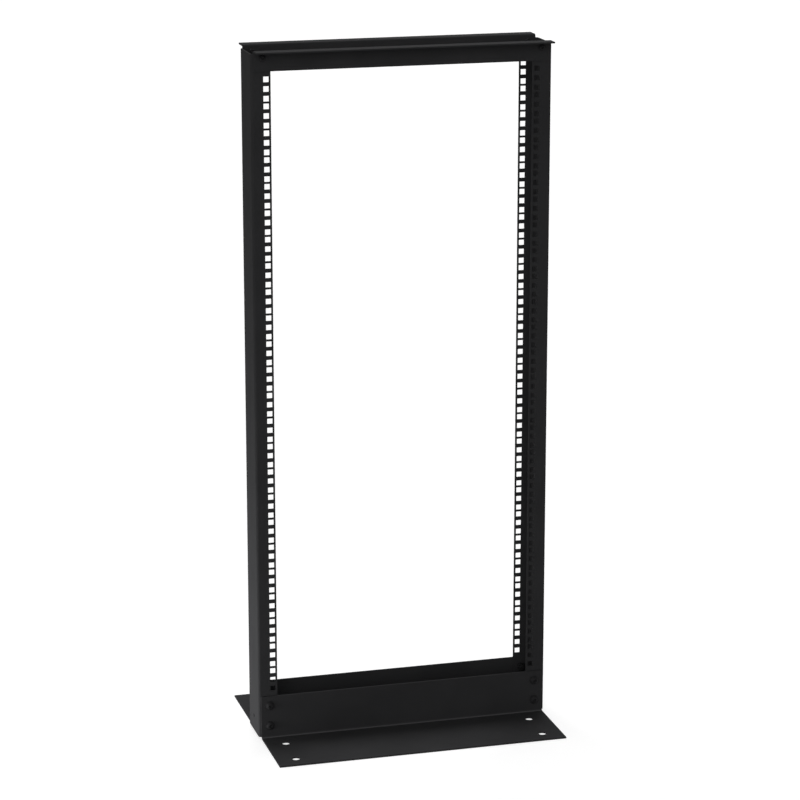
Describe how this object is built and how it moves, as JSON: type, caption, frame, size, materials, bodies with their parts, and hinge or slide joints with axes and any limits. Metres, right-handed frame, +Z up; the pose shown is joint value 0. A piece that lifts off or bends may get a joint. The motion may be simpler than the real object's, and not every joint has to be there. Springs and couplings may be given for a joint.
{
  "type": "two post open frame rack",
  "caption": "Black open frame rack: two punched channel uprights held by a pair of base angles and a pair of top angles.",
  "frame": {"origin": "on the floor, at the centre of the rack's footprint", "axes": "+X to the rack's right seen from the front, +Y to the back, +Z up"},
  "size_m": [0.5166, 0.3556, 1.1921],
  "materials": {
    "frame_steel": "satin black powder coat"
  },
  "bodies": {
    "root": {"left_upright": "frame_steel", "right_upright": "frame_steel", "front_base_angle": "frame_steel", "rear_base_angle": "frame_steel", "front_top_angle": "frame_steel", "rear_top_angle": "frame_steel"}
  },
  "joints": []
}
